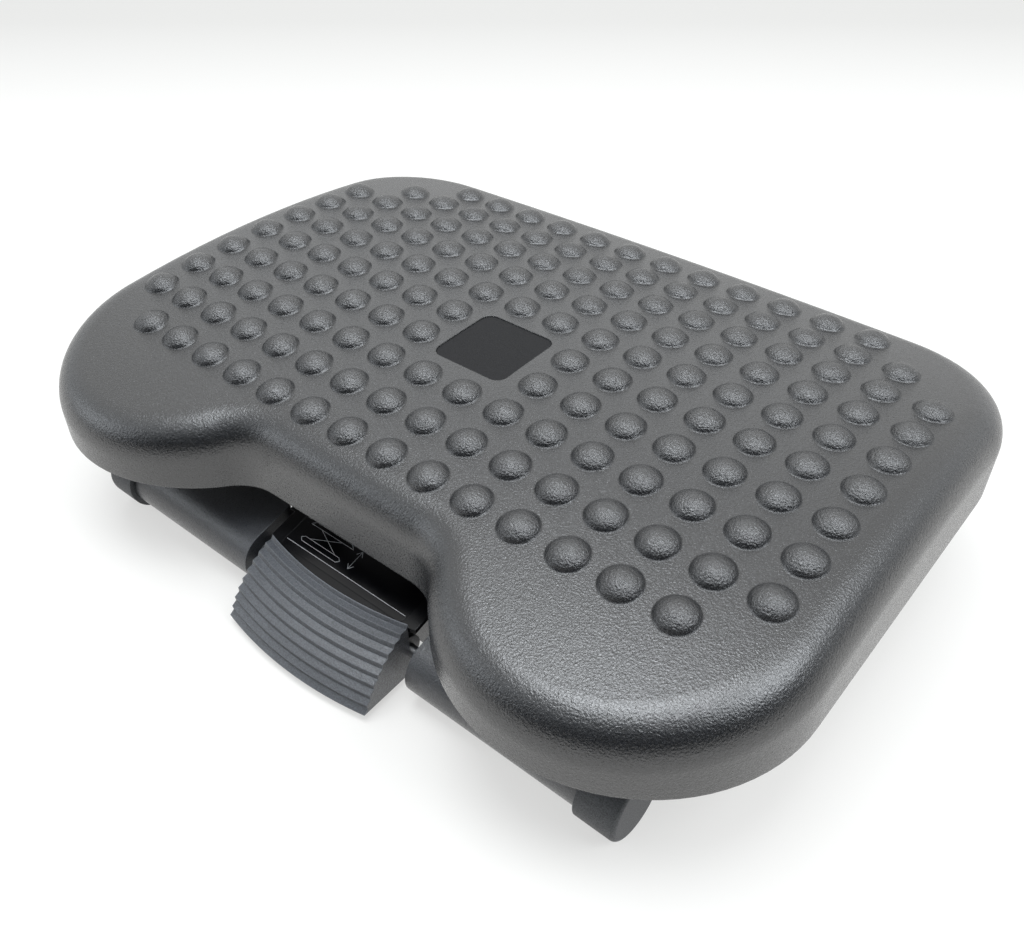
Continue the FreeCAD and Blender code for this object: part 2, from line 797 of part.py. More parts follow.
def pedal():
    """Hollow ribbed treadle with two hinge lugs and a rear lever."""
    crests, radius, centre_y, centre_z, first, last = pedal_outline()
    heel_z = pedal_tip_z
    solid = turned_about_pedal_axis(crests + [(pedal_top_y, heel_z)])
    skin = pedal_wall + pedal_rib_depth
    inner = []
    for step in range(pedal_rib_count + 1):
        angle = first + (last - first) * step / pedal_rib_count
        reach = radius - skin
        inner.append((centre_y - reach * math.sin(angle), centre_z + reach * math.cos(angle)))
    inner = [(y, z) for y, z in inner if z > heel_z]
    inner = [(inner[0][0] + overrun, inner[0][1])] + inner
    inner.append((inner[-1][0], heel_z - overrun))
    inner.append((inner[0][0], heel_z - overrun))
    hollow = turned_about_pedal_axis(inner)
    inside_trim = pedal_side_trim(pedal_half_width_rear - pedal_wall, pedal_half_width_tip - pedal_wall)
    hollow = hollow.common(inside_trim)
    outer = solid.common(pedal_side_trim(pedal_half_width_rear, pedal_half_width_tip))
    shell = outer.cut(hollow)
    lug_end = pedal_lug_inner_x + pedal_lug_thickness
    web = plate_x(
        [
            (bar_axis_y, bar_axis_z + pedal_lug_radius),
            (pedal_top_y - pedal_wall, bar_axis_z + pedal_lug_radius),
            (pedal_top_y - bar_radius, bar_axis_z),
            (pedal_top_y - bar_radius, bar_axis_z - pedal_lug_radius),
            (bar_axis_y, bar_axis_z - pedal_lug_radius),
        ],
        pedal_lug_inner_x,
        lug_end,
    )
    hub = rod_x(pedal_lug_radius, bar_axis_y, bar_axis_z, pedal_lug_inner_x, lug_end)
    nose_y = crank_y - crank_front_reach
    nose_z = crank_z - crank_front_height - face_gap - pedal_arm_nose_radius
    lever_low = bar_axis_z - pedal_arm_thickness / 2
    lever = plate_x(
        [
            (bar_axis_y - pedal_lug_radius, lever_low),
            (bar_axis_y - pedal_lug_radius, lever_low + pedal_arm_thickness),
            (nose_y, nose_z + pedal_arm_nose_radius),
            (nose_y, nose_z - pedal_arm_nose_radius),
            (bar_axis_y + pedal_lug_radius, lever_low),
        ],
        -pedal_arm_half_width,
        pedal_arm_half_width,
    )
    lever_nose = rod_x(pedal_arm_nose_radius, nose_y, nose_z, -pedal_arm_half_width, pedal_arm_half_width)
    bridge = rod_x(pedal_lug_radius, bar_axis_y, bar_axis_z, -pedal_lug_inner_x, pedal_lug_inner_x)
    body = fuse_all([shell, bridge, lever, lever_nose] + both_sides(web) + both_sides(hub))
    bore = rod_x(pedal_pin_radius + pin_clearance, bar_axis_y, bar_axis_z, -bay_half_width, bay_half_width)
    return body.cut(bore)


def pedal_pin():
    """Steel pin that the pedal turns on."""
    end = bay_half_width + pedal_pin_bite - press_clearance
    return rod_x(pedal_pin_radius, bar_axis_y, bar_axis_z, -end, end)


def release_crank():
    """Bell crank: the pedal lifts its nose and its fork draws the brake rod forwards."""
    w = crank_half_width
    hub = rod_x(crank_hub_radius, crank_y, crank_z, -w, w)
    tip_y = crank_y - crank_front_reach - pedal_arm_nose_radius
    under = crank_z - crank_front_height
    hub_top = crank_z + crank_hub_radius
    nose = plate_x([(crank_y, under), (crank_y, hub_top), (tip_y, crank_z), (tip_y, under)], -w, w)
    fork_bottom = brake_rod_z - rod_pin_radius
    half = yoke_slot_half_width - face_gap
    reach = crank_fork_half_depth
    fork = box(-half, half, crank_y - reach, crank_y + reach, fork_bottom, crank_z)
    body = fuse_all([hub, nose, fork])
    slot = box(
        -w - overrun,
        w + overrun,
        crank_y - rod_pin_radius - crank_fork_slot,
        crank_y + rod_pin_radius + crank_fork_slot,
        fork_bottom - overrun,
        brake_rod_z + rod_pin_radius + face_gap,
    )
    bore = rod_x(crank_pin_radius + pin_clearance, crank_y, crank_z, -w - overrun, w + overrun)
    return cut_all(body, [slot, bore])


def crank_pin():
    """Pin of the release crank, held in the tray's lugs."""
    end = crank_half_width + crank_lug_gap + crank_lug_thickness
    return rod_x(crank_pin_radius, crank_y, crank_z, -end, end)


def shoe_face_y():
    """Where the flat back of the brake shoe stands."""
    return lift_shaft_y - drum_radius - face_gap - lining_thickness - shoe_back_thickness


def brake_rod():
    """Rod with a front yoke, a spring collar and the rear end that carries the shoe."""
    yoke_rear = crank_y + yoke_length
    rod = rod_y(brake_rod_radius, 0, brake_rod_z, yoke_rear - base_wall, shoe_face_y())
    collar = rod_y(rod_collar_radius, 0, brake_rod_z, rod_collar_y, rod_collar_y + rod_collar_thickness)
    yoke = box(
        -yoke_half_width,
        yoke_half_width,
        crank_y - yoke_front_length,
        yoke_rear,
        brake_rod_z - yoke_half_height,
        brake_rod_z + yoke_half_height,
    )
    slot = box(
        -yoke_slot_half_width,
        yoke_slot_half_width,
        crank_y - yoke_front_length - overrun,
        yoke_rear - base_wall,
        brake_rod_z - yoke_half_height - overrun,
        brake_rod_z + yoke_half_height + overrun,
    )
    hole_radius = rod_pin_radius + press_clearance
    pin_hole = rod_x(hole_radius, crank_y, brake_rod_z, -yoke_half_width, yoke_half_width)
    body = fuse_all([rod, collar, yoke])
    return cut_all(body, [slot, pin_hole])


def rod_pin():
    """Cross pin in the yoke of the brake rod."""
    return rod_x(rod_pin_radius, crank_y, brake_rod_z, -yoke_half_width, yoke_half_width)


def brake_shoe():
    """Block on the end of the rod, hollowed to the drum."""
    block = box(
        -shoe_half_width,
        shoe_half_width,
        shoe_face_y(),
        lift_shaft_y - drum_radius / 2,
        lift_shaft_z - shoe_half_height,
        lift_shaft_z + shoe_half_height,
    )
    seat = drum_radius + face_gap + lining_thickness
    return block.cut(rod_x(seat, lift_shaft_y, lift_shaft_z, -drum_half_width, drum_half_width))


def brake_lining():
    """Curved friction pad inside the shoe."""
    outer = drum_radius + face_gap + lining_thickness
    ring = rod_x(outer, lift_shaft_y, lift_shaft_z, -shoe_half_width, shoe_half_width)
    inside = drum_radius + face_gap
    ring = ring.cut(rod_x(inside, lift_shaft_y, lift_shaft_z, -drum_half_width, drum_half_width))
    keep = box(
        -shoe_half_width,
        shoe_half_width,
        shoe_face_y(),
        lift_shaft_y - drum_radius / 2,
        lift_shaft_z - shoe_half_height,
        lift_shaft_z + shoe_half_height,
    )
    return ring.common(keep)


def brake_drum():
    """Smooth drum fixed to the middle of the lift shaft."""
    drum = rod_x(drum_radius, lift_shaft_y, lift_shaft_z, -drum_half_width, drum_half_width)
    bore_radius = lift_shaft_radius + press_clearance
    bore = rod_x(bore_radius, lift_shaft_y, lift_shaft_z, -drum_half_width, drum_half_width)
    return cut_all(drum, [bore, roll_pin_hole(0, drum_radius)])


def roll_pin_hole(x, reach):
    """Cross hole through hub and shaft at x."""
    radius = roll_pin_radius + press_clearance
    beyond = reach + overrun
    return rod_z(radius, x, lift_shaft_y, lift_shaft_z - beyond, lift_shaft_z + beyond)


def roll_pin(x, reach):
    """Pin that fixes a hub to the lift shaft at x."""
    return rod_z(roll_pin_radius, x, lift_shaft_y, lift_shaft_z - reach, lift_shaft_z + reach)


def arm_middle_x():
    """Middle plane of the right lift arm."""
    return arm_inner_x + arm_thickness / 2


def hub_pins():
    """Roll pins of both arms and of the drum."""
    pins = []
    reach = arm_hub_radius - face_gap
    for x in (-arm_middle_x(), arm_middle_x()):
        pins.append(roll_pin(x, reach))
    pins.append(roll_pin(0, drum_radius - face_gap))
    return Part.makeCompound(pins)


def lift_shaft():
    """Steel shaft across the tray that both arms and the drum are pinned to."""
    end = lift_shaft_half_length
    shaft = rod_x(lift_shaft_radius, lift_shaft_y, lift_shaft_z, -end, end)
    holes = [roll_pin_hole(x, lift_shaft_radius) for x in (-arm_middle_x(), 0, arm_middle_x())]
    return cut_all(shaft, holes)


def shaft_bush():
    """Flanged bush in the right ear of the tray."""
    inner = lift_shaft_radius + pin_clearance
    start = tray_half_width - ear_thickness
    end = tray_half_width + bush_flange_thickness
    sleeve = rod_x(inner + bush_wall, lift_shaft_y, lift_shaft_z, start, end)
    flange = rod_x(inner + bush_wall + bush_flange_extra, lift_shaft_y, lift_shaft_z, tray_half_width, end)
    bore = rod_x(inner, lift_shaft_y, lift_shaft_z, start - overrun, end + overrun)
    return sleeve.fuse(flange).cut(bore)


def lift_arm():
    """Right lift arm: hub on the shaft, eye at the carrier, pocketed on its outer face."""
    outer_x = arm_inner_x + arm_thickness
    body = bar_link(arm_foot, arm_head, arm_half_width, arm_hub_radius, arm_eye_radius, arm_inner_x, outer_x)
    dy = arm_head[0] - arm_foot[0]
    dz = arm_head[1] - arm_foot[1]
    near = (arm_hub_radius + arm_pocket_end_gap + arm_half_width) / arm_length
    far = 1 - (arm_eye_radius + arm_pocket_end_gap + arm_half_width) / arm_length
    start = (arm_foot[0] + dy * near, arm_foot[1] + dz * near)
    end = (arm_foot[0] + dy * far, arm_foot[1] + dz * far)
    half = arm_half_width - arm_pocket_rim
    pocket = bar_link(start, end, half, half, half, outer_x - arm_pocket_depth, outer_x + overrun)
    span = (arm_inner_x - overrun, outer_x + overrun)
    bore = rod_x(lift_shaft_radius + press_clearance, *arm_foot, *span)
    eye = rod_x(arm_pin_radius + pin_clearance, *arm_head, *span)
    return cut_all(body, [pocket, bore, eye, roll_pin_hole(arm_middle_x(), arm_hub_radius)])


def control_link():
    """Right control link, which keeps the carrier level."""
    outer_x = link_inner_x + link_thickness
    eye = link_eye_radius
    body = bar_link(link_foot, link_head, link_half_width, eye, eye, link_inner_x, outer_x)
    tools = []
    for y, z in (link_foot, link_head):
        tools.append(rod_x(link_pin_radius + pin_clearance, y, z, link_inner_x - overrun, outer_x + overrun))
    return cut_all(body, tools)


def shouldered_pin(radius, y, z, start, seat, turning, outer):
    """Headed pin: plain in its seat, with a shoulder up to the turning piece."""
    pin = rod_x(radius, y, z, start, outer)
    shoulder = rod_x(radius + pin_shoulder_extra, y, z, seat, turning)
    head = rod_x(radius + pin_head_extra, y, z, outer, outer + pin_head_height)
    return fuse_all([pin, shoulder, head])


def link_base_pin():
    """Right pin of the control link, pressed into the tray's ear."""
    outer = link_inner_x + link_thickness + face_gap
    start = tray_half_width - ear_thickness
    return shouldered_pin(
        link_pin_radius, link_foot[0], link_foot[1], start, tray_half_width, link_inner_x - face_gap, outer
    )


def link_head_pin():
    """Right pin of the control link at the carrier's cheek."""
    outer = link_inner_x + link_thickness + face_gap
    seat = cheek_inner_x + cheek_thickness
    return shouldered_pin(
        link_pin_radius, link_head[0], link_head[1], cheek_inner_x, seat, link_inner_x - face_gap, outer
    )


def arm_head_pin():
    """Right pin of the lift arm at the carrier's cheek."""
    outer = arm_inner_x + arm_thickness + face_gap
    seat = cheek_inner_x + cheek_thickness
    return shouldered_pin(
        arm_pin_radius, arm_head[0], arm_head[1], cheek_inner_x, seat, arm_inner_x - face_gap, outer
    )


def tilt_carrier():
    """Saddle over the tray: two cheeks joined by a web."""
    m = cheek_margin
    outline = [
        (arm_head[0] - m, arm_head[1] - m / 2),
        (arm_head[0] - m / 2, arm_head[1] - m),
        (arm_head[0] + m, arm_head[1] - m),
        (link_head[0] + m + m / 2, link_head[1] - m),
        (link_head[0] + m + m / 2, tilt_axle_z + m / 2),
        (tilt_axle_y + m, tilt_axle_z + m),
        (tilt_axle_y - m, tilt_axle_z + m),
        (arm_head[0] - m - m / 2, tilt_axle_z),
        (arm_head[0] - m - m / 2, link_head[1] - m),
    ]
    cheek = plate_x(outline, cheek_inner_x, cheek_inner_x + cheek_thickness)
    web_low = cover_top_z + web_gap_over_cover
    web = box(
        -cheek_inner_x,
        cheek_inner_x,
        tilt_axle_y - web_half_depth,
        tilt_axle_y + web_half_depth,
        web_low,
        web_low + web_thickness,
    )
    body = fuse_all(both_sides(cheek) + [web])
    tools = []
    for radius, y, z in (
        (arm_pin_radius, *arm_head),
        (link_pin_radius, *link_head),
        (tilt_axle_radius, tilt_axle_y, tilt_axle_z),
    ):
        start = cheek_inner_x - pin_clearance
        end = cheek_inner_x + cheek_thickness + overrun
        tools += both_sides(rod_x(radius + press_clearance, y, z, start, end))
    return cut_all(body, tools)


def tilt_axle():
    """Steel axle across both cheeks."""
    end = cheek_inner_x + cheek_thickness + nut_height + axle_end_extra
    return rod_x(tilt_axle_radius, tilt_axle_y, tilt_axle_z, -end, end)


def axle_nut():
    """Right hexagon nut of the tilt axle."""
    start = cheek_inner_x + cheek_thickness
    points = []
    for corner in range(6):
        angle = math.radians(60 * corner)
        y = tilt_axle_y + nut_radius * math.cos(angle)
        points.append((y, tilt_axle_z + nut_radius * math.sin(angle)))
    end = start + nut_height
    bore = rod_x(tilt_axle_radius + press_clearance, tilt_axle_y, tilt_axle_z, start, end)
    return plate_x(points, start, end).cut(bore)


def friction_washer():
    """Right friction washer between cheek and bracket."""
    outer_x = cheek_inner_x
    inner_x = cheek_inner_x - washer_thickness
    ring = rod_x(washer_radius, tilt_axle_y, tilt_axle_z, inner_x, outer_x)
    return ring.cut(rod_x(tilt_axle_radius + press_clearance, tilt_axle_y, tilt_axle_z, inner_x, outer_x))


def bracket_outer_x():
    """Outer face of the right bracket's ear."""
    return cheek_inner_x - washer_thickness - face_gap


def axle_spacer():
    """Tube that keeps both brackets apart on the axle."""
    end = bracket_outer_x() - bracket_thickness - face_gap
    tube = rod_x(tilt_axle_radius + spacer_wall, tilt_axle_y, tilt_axle_z, -end, end)
    return tube.cut(rod_x(tilt_axle_radius + press_clearance, tilt_axle_y, tilt_axle_z, -end, end))


def tilt_bracket():
    """Right bracket: screwed flange above, eye on the tilt axle below."""
    outer_x = bracket_outer_x()
    inner_x = outer_x - bracket_thickness
    low = bracket_flange_z - bracket_flange_thickness
    top = bracket_flange_z
    flange = box(
        outer_x - bracket_flange_width,
        outer_x,
        tilt_axle_y - bracket_half_depth,
        tilt_axle_y + bracket_half_depth,
        low,
        top,
    )
    ear = plate_x(
        [
            (tilt_axle_y - bracket_half_depth, top),
            (tilt_axle_y - bracket_eye_radius, tilt_axle_z),
            (tilt_axle_y + bracket_eye_radius, tilt_axle_z),
            (tilt_axle_y + bracket_half_depth, top),
        ],
        inner_x,
        outer_x,
    )
    eye = rod_x(bracket_eye_radius, tilt_axle_y, tilt_axle_z, inner_x, outer_x)
    body = fuse_all([flange, ear, eye])
    bore_radius = tilt_axle_radius + pin_clearance
    tools = [rod_x(bore_radius, tilt_axle_y, tilt_axle_z, inner_x - overrun, outer_x + overrun)]
    for x, y in bracket_screw_places():
        tools.append(rod_z(screw_radius + screw_clearance, x, y, low - overrun, top + overrun))
    return cut_all(body, tools)


def bracket_screws():
    """Screws of both brackets, heads down."""
    low = bracket_flange_z - bracket_flange_thickness
    length = bracket_flange_thickness + screw_bite - face_gap
    screws = []
    for x, y in bracket_screw_places():
        for side in (-1, 1):
            screws.append(screw(side * x, y, low, False, length))
    return Part.makeCompound(screws)


def deck_z(y):
    """Height of the sloping deck behind the pedal."""
    return deck_front_z + (y - deck_front_y) * math.tan(math.radians(deck_slope_deg))


def deck_end_y():
    """Where the sloping deck meets the level cover."""
    return deck_front_y + (cover_top_z - deck_front_z) / math.tan(math.radians(deck_slope_deg))


def front_cover():
    """Lid over the front of the tray, with the sloping deck behind the pedal."""
    w = tray_half_width
    low = tray_wall_top_z
    bend = deck_end_y()
    rear = cover_split_y
    front = tray_front_y
    wide = plate_x(
        [(front, low), (front, deck_z(front)), (bend, cover_top_z), (rear, cover_top_z), (rear, low)], -w, w
    )
    t = cover_wall
    hollow = plate_x(
        [
            (front + t, low - overrun),
            (front + t, deck_z(front + t) - t),
            (bend, cover_top_z - t),
            (rear + overrun, cover_top_z - t),
            (rear + overrun, low - overrun),
        ],
        -w + t,
        w - t,
    )
    lip = plate_x(
        [
            (deck_front_y - overrun, deck_z(deck_front_y - overrun)),
            (front + t, deck_z(front + t)),
            (front + t, deck_z(front + t) - t),
            (deck_front_y - overrun, deck_z(deck_front_y - overrun) - t),
        ],
        -deck_half_width,
        deck_half_width,
    )
    axis_y = pedal_tip_y + pedal_plan_radius
    lip = lip.common(rod_z(axis_y - deck_front_y, 0, axis_y, 0, cover_top_z))
    body = fuse_all([wide.cut(hollow), lip])
    front_screws, rear_screws = cover_screw_places()
    tools = [rod_z(screw_radius + screw_clearance, x, y, low, cover_top_z + overrun) for x, y in front_screws]
    slot = pedal_slot_half_width
    tools.append(box(-slot, slot, front - overrun, front + t + overrun, low - overrun, deck_z(front) - t))
    return cut_all(body, tools)


def rear_cover():
    """Lid over the brake, between the ears of the tray."""
    w = tray_half_width
    low = tray_wall_top_z
    t = cover_wall
    front = cover_split_y + face_gap
    step = ear_front_y - face_gap
    narrow = tray_half_width - ear_thickness - face_gap
    wide = box(-w, w, front, step, low, cover_top_z)
    tail = box(-narrow, narrow, step, ear_rear_y, low, cover_top_z)
    hollow = box(-w + t, w - t, front - overrun, step - t, low - overrun, cover_top_z - t)
    tail_hollow = box(-narrow + t, narrow - t, front, ear_rear_y - t, low - overrun, cover_top_z - t)
    body = fuse_all([wide, tail])
    front_screws, rear_screws = cover_screw_places()
    tools = [hollow, tail_hollow]
    tools += [rod_z(screw_radius + screw_clearance, x, y, low, cover_top_z + overrun) for x, y in rear_screws]
    tools.append(rod_x(lift_shaft_radius + 2 * face_gap, lift_shaft_y, lift_shaft_z, -w, w))
    return cut_all(body, tools)


def cover_screws():
    """Screws of both covers, heads up."""
    front_screws, rear_screws = cover_screw_places()
    screws = []
    for x, y in front_screws + rear_screws:
        screws.append(screw(x, y, cover_top_z, True, cover_wall + screw_bite - face_gap))
    return Part.makeCompound(screws)


def deck_label():
    """Thin plate stuck on the sloping deck."""
    front = deck_front_y + label_front_gap
    plate = box(-label_half_length, label_half_length, 0, label_depth, 0, label_thickness)
    plate = rounded_z(plate, label_corner_radius)
    plate.rotate(V(0, 0, 0), V(1, 0, 0), deck_slope_deg)
    plate.translate(V(0, front, deck_z(front) + press_clearance))
    return plate


def brake_spring():
    """Compression spring on the brake rod, between the front guide and the collar."""
    start = front_guide_y + guide_thickness + spring_wire
    end = rod_collar_y - spring_wire
    steps = spring_turns * spring_arcs_per_turn
    advance = (end - start) / (2 * math.pi * spring_turns)
    points = []
    ways = []
    for step in range(steps + 1):
        angle = 2 * math.pi * step / spring_arcs_per_turn
        across = spring_radius * math.cos(angle)
        up = spring_radius * math.sin(angle)
        points.append(V(across, start + advance * angle, brake_rod_z + up))
        ways.append(V(-up, advance, across).normalize())
    arcs = []
    for step in range(steps):
        arcs += biarc(points[step], ways[step], points[step + 1], ways[step + 1])
    circle = Part.Wire(Part.makeCircle(spring_wire / 2, points[0], ways[0]))
    return Part.Wire(arcs).makePipeShell([circle], True, False)


def paired(nodes, name, shape):
    """Add a right-hand piece and its left-hand twin."""
    nodes["right_" + name] = shape
    nodes["left_" + name] = mirrored(shape)


def build():
    """Every piece by its name."""
    nodes = {}
    nodes["platform"] = platform()
    nodes["badge_plate"] = badge_plate()
    nodes["bracket_screws"] = bracket_screws()
    nodes["base_frame"] = base_frame()
    nodes["front_cover"] = front_cover()
    nodes["rear_cover"] = rear_cover()
    nodes["deck_label"] = deck_label()
    nodes["cover_screws"] = cover_screws()
    nodes["pedal"] = pedal()
    nodes["pedal_pin"] = pedal_pin()
    nodes["release_crank"] = release_crank()
    nodes["crank_pin"] = crank_pin()
    nodes["brake_rod"] = brake_rod()
    nodes["rod_pin"] = rod_pin()
    nodes["brake_shoe"] = brake_shoe()
    nodes["brake_lining"] = brake_lining()
    nodes["brake_spring"] = brake_spring()
    nodes["brake_drum"] = brake_drum()
    nodes["lift_shaft"] = lift_shaft()
    nodes["hub_pins"] = hub_pins()
    nodes["tilt_carrier"] = tilt_carrier()
    nodes["tilt_axle"] = tilt_axle()
    nodes["axle_spacer"] = axle_spacer()
    paired(nodes, "front_boot", front_boot())
    paired(nodes, "rear_boot", rear_boot())
    paired(nodes, "shaft_bush", shaft_bush())
    paired(nodes, "lift_arm", lift_arm())
    paired(nodes, "control_link", control_link())
    paired(nodes, "link_base_pin", link_base_pin())
    paired(nodes, "link_head_pin", link_head_pin())
    paired(nodes, "arm_head_pin", arm_head_pin())
    paired(nodes, "axle_nut", axle_nut())
    paired(nodes, "friction_washer", friction_washer())
    paired(nodes, "tilt_bracket", tilt_bracket())
    return nodes


os.makedirs("parts", exist_ok=True)
for node_name, node_shape in build().items():
    node_shape.exportStep("parts/" + node_name + ".step")
    state = "valid" if node_shape.isValid() else "NOT VALID"
    size = node_shape.BoundBox
    print(node_name, len(node_shape.Solids), state, round(node_shape.Volume), size)
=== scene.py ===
"""Looks of the under-desk footrest: finishes, printed label, brake spring, studio light and camera."""
import json
import math

import bmesh
import bpy
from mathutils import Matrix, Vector

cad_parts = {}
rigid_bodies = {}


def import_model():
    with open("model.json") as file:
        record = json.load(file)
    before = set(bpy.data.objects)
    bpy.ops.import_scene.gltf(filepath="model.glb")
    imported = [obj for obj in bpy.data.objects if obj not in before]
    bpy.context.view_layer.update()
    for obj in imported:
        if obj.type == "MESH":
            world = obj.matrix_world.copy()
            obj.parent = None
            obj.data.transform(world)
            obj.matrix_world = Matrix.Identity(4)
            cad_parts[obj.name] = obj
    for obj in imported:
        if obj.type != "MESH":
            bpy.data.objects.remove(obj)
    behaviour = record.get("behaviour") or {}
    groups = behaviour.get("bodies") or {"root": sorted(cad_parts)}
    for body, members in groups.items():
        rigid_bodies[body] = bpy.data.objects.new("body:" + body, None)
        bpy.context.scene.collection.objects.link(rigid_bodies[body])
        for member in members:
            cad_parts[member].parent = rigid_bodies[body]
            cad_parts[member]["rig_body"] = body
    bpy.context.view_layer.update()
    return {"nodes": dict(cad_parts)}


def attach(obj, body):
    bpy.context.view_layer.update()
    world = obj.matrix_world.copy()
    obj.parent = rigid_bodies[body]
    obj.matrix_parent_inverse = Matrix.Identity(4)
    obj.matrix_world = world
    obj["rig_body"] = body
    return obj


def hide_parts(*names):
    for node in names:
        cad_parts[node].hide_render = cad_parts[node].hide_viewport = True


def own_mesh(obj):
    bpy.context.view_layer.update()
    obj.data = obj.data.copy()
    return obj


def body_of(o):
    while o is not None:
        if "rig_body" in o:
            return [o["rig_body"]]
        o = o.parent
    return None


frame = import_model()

mm = 0.001

# Camera of the photograph, in millimetres and degrees, and its clipping in metres
camera_place = (275.7, -327.5, 373.7)
camera_azimuth_deg = 39.66
camera_elevation_deg = 39.13
camera_lens = 35.22
camera_sensor = 36.0
camera_near = 0.01
camera_far = 50.0

# Room light: the way it comes from, its colour, its strengths and the band over which it fades
room_way = (-0.35, 0.55, 0.76)
room_colour = (0.90, 0.95, 1.0)
room_dim = 0.03
room_bright = 1.15
room_band = (-0.32, 0.80)

# White backdrop that the camera sees, and the band of the room over which reflections see it too
backdrop_colour = (1.0, 1.0, 0.985)
backdrop_strength = 0.97
backdrop_band = (0.2, 0.8)

# Lamps: name, place, size and watts; their colour and the point that they face
lamps = (
    ("overhead", (-0.05, -0.20, 1.75), (1.1, 0.8), 19.3),
    ("right_high", (1.3, 0.3, 1.6), (1.0, 1.0), 17.6),
    ("back_window", (-1.4, 1.55, 1.5), (2.5, 1.2), 4.8),
    ("front_left_low", (-1.4, -1.3, 0.7), (1.0, 0.6), 4.0),
)
lamp_colour = (0.91, 0.955, 1.0)
lamp_aim = (0, 0, 0.08)

# Floor: its side, patches per metre, their tones, and roughness
floor_side = 12.0
floor_patch_rate = 3.0
floor_tones = ((0.84, 0.82, 0.78), (0.90, 0.875, 0.83))
floor_roughness = 0.6

# Floor's glow, the share of it that the camera sees, and how many times that share reflections see
floor_glow = (1.0, 1.0, 0.99)
floor_glow_share = 0.58
floor_gloss_share = 1.7

# Far floor: the way there, the band over which it begins, in metres, its greyer tone and its dimmer glow
floor_far_way = (-0.638, 0.770, 0.0)
floor_far_band = (0.50, 0.95)
floor_far_tone = (0.64, 0.62, 0.585)
floor_far_glow = (0.84, 0.84, 0.83)

# Kinds of noise: octaves of detail, and the share that each keeps of the one before
soft_noise = (2.0, 0.5)
cloudy_noise = (3.0, 0.55)
rich_noise = (3.0, 0.6)
crisp_noise = (3.0, 0.65)
hazy_noise = (4.0, 0.6)

# Moulded grain: clouds per metre, wander and pebbles per grain, how far the fine pattern bends, and the
# weights of the patterns that make up the height
cloud_rate = 11.0
wander_rate = 0.3
pebble_rate = 0.9
fine_bend = 0.3
fine_weight = 0.7
pebble_weight = 0.3
wander_weight = 0.2

# Bands of the grain over which its tone and its gloss change, how much duller pits and glossier ridges are,
# and the clouds' band and their greatest share of the pits' tone
tone_band = (0.36, 0.64)
gloss_band = (0.34, 0.66)
pit_dullness = 0.10
ridge_gloss = 0.08
cloud_band = (0.3, 0.7)
cloud_share = 0.16

# Rubbed edges with a painted highlight: samples of their rounding, one less the cosine of its turn where they
# begin to show and where they show in full, and for each plastic their share, and the factor and extra that
# make their tone paler
bevel_samples = 4
wear_and_highlight_band = (0.01, 0.12)
grained_wear_and_highlight = 0.6
grained_wear_and_highlight_tone = (3.0, 0.03)
smooth_wear_and_highlight = 0.5
smooth_wear_and_highlight_tone = (2.2, 0.0)

# Crown of the platform, in metres, which tells the studs from the plain surface between them
crown_top = 0.1085
crown_radius = 0.778
crown_axis_y = 0.0162

# Heights over the bare crown, in metres: where the studs' grain deepens, where their tops are glossier,
# and the lower skirt, which alone gets the paler edges of wear and painted highlight
stud_grain_band = (0.0006, 0.0020)
stud_grain_gain = 2.1
stud_top_band = (0.0030, 0.0050)
stud_top_gloss = 0.05
skirt_band = (-0.0300, -0.0260)

# Dark grime and painted shade round the studs' feet: the heights between which they lie, in metres, their
# patches and their tone
grime_and_shade_low_band = (-0.0003, 0.0002)
grime_and_shade_high_band = (0.0003, 0.0012)
grime_and_shade_patch_band = (0.35, 0.7)
grime_and_shade_share = 0.2
grime_and_shade_tone = 0.45

# Smooth plastic: haze and ripples per metre, the haze's darker tone and its pull on the roughness
haze_rate = 60.0
haze_tone = 0.75
haze_band = (0.3, 0.7)
haze_gloss = 0.05
haze_dullness = 0.08
ripple_rate = 1500.0

# Plated steel: draw marks and dull spots per metre, their bands, depth in metres, gloss and tone
draw_rate = 1400.0
draw_stretch = 0.06
draw_band = (0.3, 0.7)
draw_depth = 0.00003
draw_gloss = 0.07
draw_dullness = 0.1
spot_rate = 120.0
spot_band = (0.35, 0.75)
spot_tone = 0.72

# Deck and label, in millimetres and degrees: the deck's front edge and slope, how far up it the label starts,
# and the label's thickness
deck_front_y = -129.1
deck_front_z = 31.8
deck_slope_deg = 15.6
label_start = 5.5
label_thickness = 0.35

# Print on the label, in millimetres: its stand-off, the width of its lines, and their points along and
# across the label, for a base line, a raised footrest and a lift arrow
print_lift = 0.03
print_line = 0.28
print_paths = (
    ((-40.4, 4.2), (40.6, 4.2)),
    ((-33.0, 7.2), (-9.0, 7.2), (-7.4, 8.6), (-9.0, 10.0), (-33.0, 10.0), (-34.6, 8.6), (-33.0, 7.2)),
    ((-30.0, 10.0), (-14.0, 17.0)),
    ((-12.0, 10.0), (-28.0, 17.0)),
    ((-36.0, 17.2), (-33.5, 19.2), (-8.5, 19.2), (-6.0, 17.2), (-36.0, 17.2)),
    ((-1.0, 8.0), (-1.0, 18.6)),
    ((-2.8, 16.4), (-1.0, 18.8), (0.8, 16.4)),
    ((-2.8, 10.2), (-1.0, 7.8), (0.8, 10.2)),
)

# Ink of the print: patches per metre, the band over which they change, their tones, and roughness
ink_rate = 700.0
ink_band = (0.3, 0.7)
ink_tones = ((0.34, 0.35, 0.36), (0.62, 0.63, 0.64))
ink_roughness = 0.55

# Spring on the brake rod, in millimetres: its ends, its seat on the base, the height of its axis, its radii,
# its turns and the pitch of the close ones
spring_start_y = 1.1
spring_end_y = 35.1
spring_z = 21.0
spring_radius = 6.0
spring_wire_radius = 0.6
spring_turns = 8
spring_close_pitch = 1.35

# Fineness of the spring's mesh: rings per turn, corners per ring, and the part of a turn that gives its way
spring_steps = 24
spring_corners = 10
spring_tangent_step = 0.01

scene = bpy.context.scene
scene.view_settings.view_transform = "Standard"


